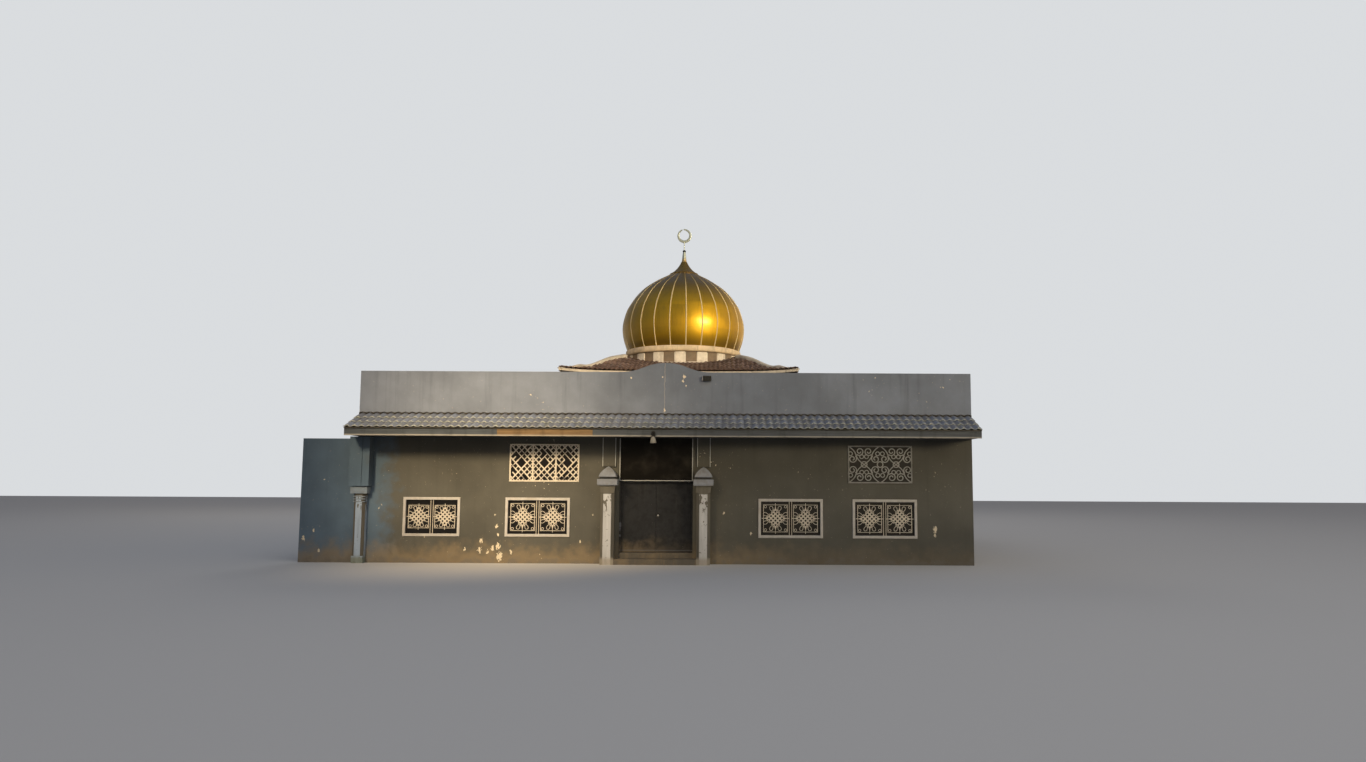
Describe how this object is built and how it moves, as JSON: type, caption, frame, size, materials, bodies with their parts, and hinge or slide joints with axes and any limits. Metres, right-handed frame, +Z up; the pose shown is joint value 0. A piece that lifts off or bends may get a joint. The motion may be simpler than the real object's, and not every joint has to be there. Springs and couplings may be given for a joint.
{
  "type": "small mosque building",
  "caption": "Single-storey mosque hall with a parapet, a tiled front eave, a double door between piers and a ribbed onion dome.",
  "frame": {"origin": "on the ground, where the hall's two centre lines cross", "axes": "+X along the front to the right, +Y from the front to the back, +Z up"},
  "size_m": [17.71, 17.37, 11.0624],
  "materials": {
    "lower_paint": "matt exterior wall paint",
    "upper_paint": "matt exterior wall paint",
    "white_plaster": "painted plaster",
    "concrete": "trowelled concrete",
    "roof_tile": "weathered clay tiles",
    "eave_tile": "weathered concrete tiles",
    "cement": "smoothed cement",
    "ring_paint": "cream paint",
    "dome_gold": "polished gold-coloured sheet",
    "finial_metal": "dull pale metal",
    "dark_board": "dark painted board",
    "door_paint": "grey paint",
    "window_sheet": "dark sheet",
    "lamp_white": "white lamp glass"
  },
  "bodies": {
    "building": {"floor_slab": "concrete", "entrance_step": "concrete", "front_wall_left": "lower_paint", "front_wall_right": "lower_paint", "front_wall_over_door": "lower_paint", "wing_wall": "lower_paint", "front_parapet_wall": "upper_paint", "parapet_crest": "upper_paint", "left_side_wall": "upper_paint", "right_side_wall": "upper_paint", "back_wall": "upper_paint", "left_window_sheet": "window_sheet", "right_window_sheet": "window_sheet", "back_window_sheet": "window_sheet", "flat_roof_slab": "concrete", "window_1": "white_plaster", "window_2": "white_plaster", "window_3": "white_plaster", "window_4": "white_plaster", "upper_screen_left": "white_plaster", "upper_screen_right": "white_plaster", "porch_pier_left": "white_plaster", "porch_pier_right": "white_plaster", "pier_capital_left": "white_plaster", "pier_capital_right": "white_plaster", "corner_pier": "white_plaster", "corner_pier_capital": "white_plaster", "corner_pier_block": "upper_paint", "sign_board": "dark_board", "sign_frame": "cement", "door_frame": "door_paint", "canopy_roof": "eave_tile", "canopy_fascia": "cement", "eave_lamp": "lamp_white", "wall_box": "dark_board", "lantern_wall_front": "upper_paint", "lantern_wall_right": "upper_paint", "lantern_wall_back": "upper_paint", "lantern_wall_left": "upper_paint", "lantern_roof": "roof_tile", "hip_ridge_front_left": "cement", "hip_ridge_front_right": "cement", "hip_ridge_back_right": "cement", "hip_ridge_back_left": "cement", "drum": "cement", "drum_ring": "ring_paint", "dome_shell": "dome_gold", "finial_mast": "finial_metal", "crescent": "finial_metal"},
    "left_leaf": {"door_leaf_left": "door_paint"},
    "right_leaf": {"door_leaf_right": "door_paint"}
  },
  "joints": [
    {"name": "left_leaf_hinge", "type": "hinge", "parent": "building", "child": "left_leaf", "pos_m": [-1.137, -7.894, 1.2], "axis": [0, 0, 1], "range_deg": [0, 90]},
    {"name": "right_leaf_hinge", "type": "hinge", "parent": "building", "child": "right_leaf", "pos_m": [0.692, -7.894, 1.2], "axis": [0, 0, -1], "range_deg": [0, 90]}
  ]
}
